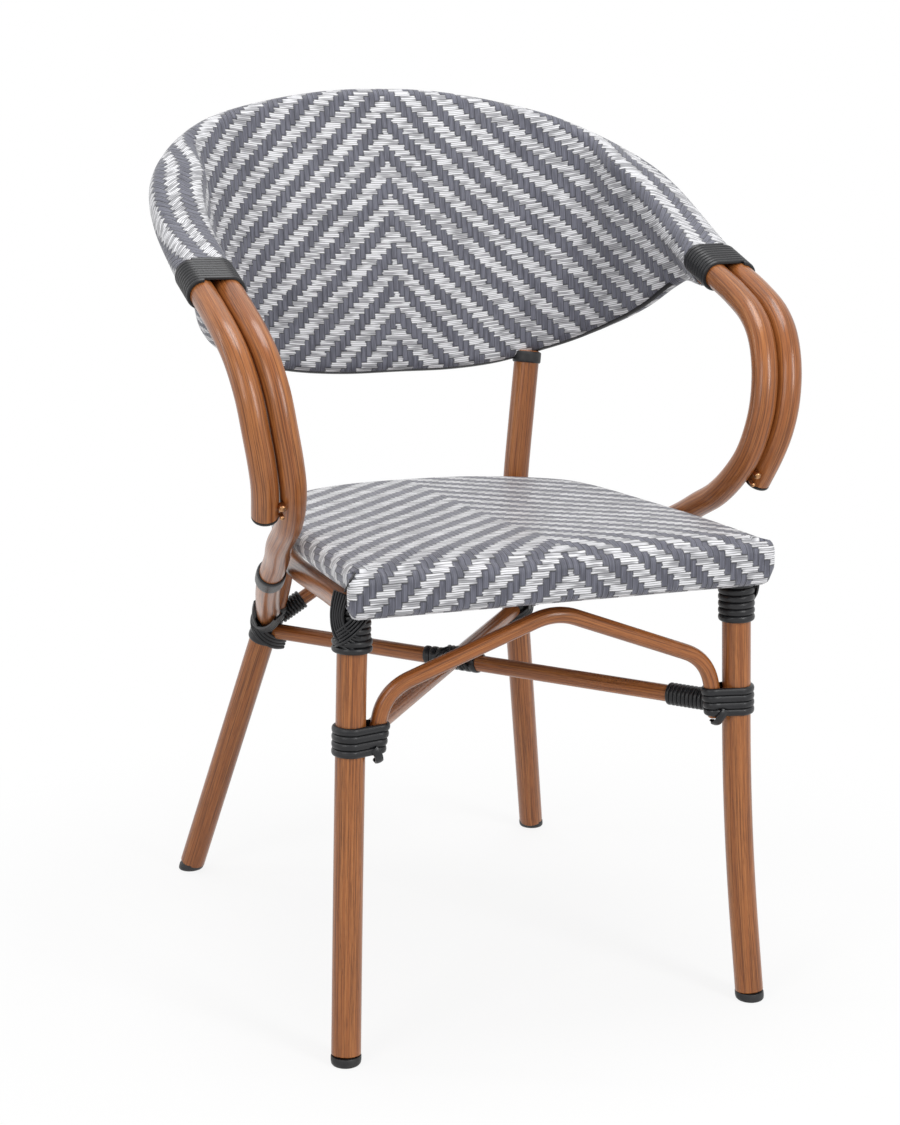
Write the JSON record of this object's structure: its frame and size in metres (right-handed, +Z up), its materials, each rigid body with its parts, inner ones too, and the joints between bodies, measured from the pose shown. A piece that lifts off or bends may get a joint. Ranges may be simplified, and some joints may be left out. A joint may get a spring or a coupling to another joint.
{
  "type": "bistro armchair",
  "caption": "Bistro armchair of bent cane-print tubes with a woven sling seat and back, an apron front, wound black bindings and crossed stretchers.",
  "frame": {"origin": "on the floor, under the middle of the chair's bounding box", "axes": "+Z up, the sitter faces -Y, X = 0 is the plane of symmetry"},
  "size_m": [0.5746, 0.5892, 0.8597],
  "materials": {
    "cane_tube": "satin wood-grain print",
    "black_strip": "satin wound strip",
    "black_plastic": "moulded",
    "sling_cloth": "woven chevron, grey and white"
  },
  "bodies": {
    "root": {"front_leg_right": "cane_tube", "front_leg_left": "cane_tube", "rear_leg_right": "cane_tube", "rear_leg_left": "cane_tube", "side_rail_right": "cane_tube", "side_rail_left": "cane_tube", "arm_tube_outer_right": "cane_tube", "arm_tube_outer_left": "cane_tube", "arm_tube_inner_right": "cane_tube", "arm_tube_inner_left": "cane_tube", "arm_stud_right": "cane_tube", "arm_stud_left": "cane_tube", "back_rim_inner_right": "cane_tube", "back_rim_inner_left": "cane_tube", "seat_tube": "cane_tube", "seat_front_rail": "cane_tube", "front_cross_rail": "cane_tube", "rear_rail": "cane_tube", "stretcher_through": "cane_tube", "stretcher_front_half": "cane_tube", "stretcher_rear_half": "cane_tube", "front_bow": "cane_tube", "rear_bow": "cane_tube", "back_rim_upper": "cane_tube", "back_rim_lower": "cane_tube", "rear_bow_wrap_right": "black_strip", "rear_bow_wrap_left": "black_strip", "arm_strap_right": "black_strip", "arm_strap_left": "black_strip", "arm_band_right": "black_strip", "arm_band_left": "black_strip", "front_leg_top_binding_right": "black_strip", "front_leg_top_binding_left": "black_strip", "front_leg_low_binding_right": "black_strip", "front_leg_low_binding_left": "black_strip", "rear_leg_binding_right": "black_strip", "rear_leg_binding_left": "black_strip", "stretcher_wrap": "black_strip", "crossing_binding": "black_strip", "front_foot_glide_right": "black_plastic", "front_foot_glide_left": "black_plastic", "rear_foot_glide_right": "black_plastic", "rear_foot_glide_left": "black_plastic", "arm_end_plug_right": "black_plastic", "arm_end_plug_left": "black_plastic", "arm_screw_right": "black_plastic", "arm_screw_left": "black_plastic", "leg_top_collar_right": "black_plastic", "leg_top_collar_left": "black_plastic", "seat_cloth": "sling_cloth", "back_cloth": "sling_cloth"}
  },
  "joints": []
}
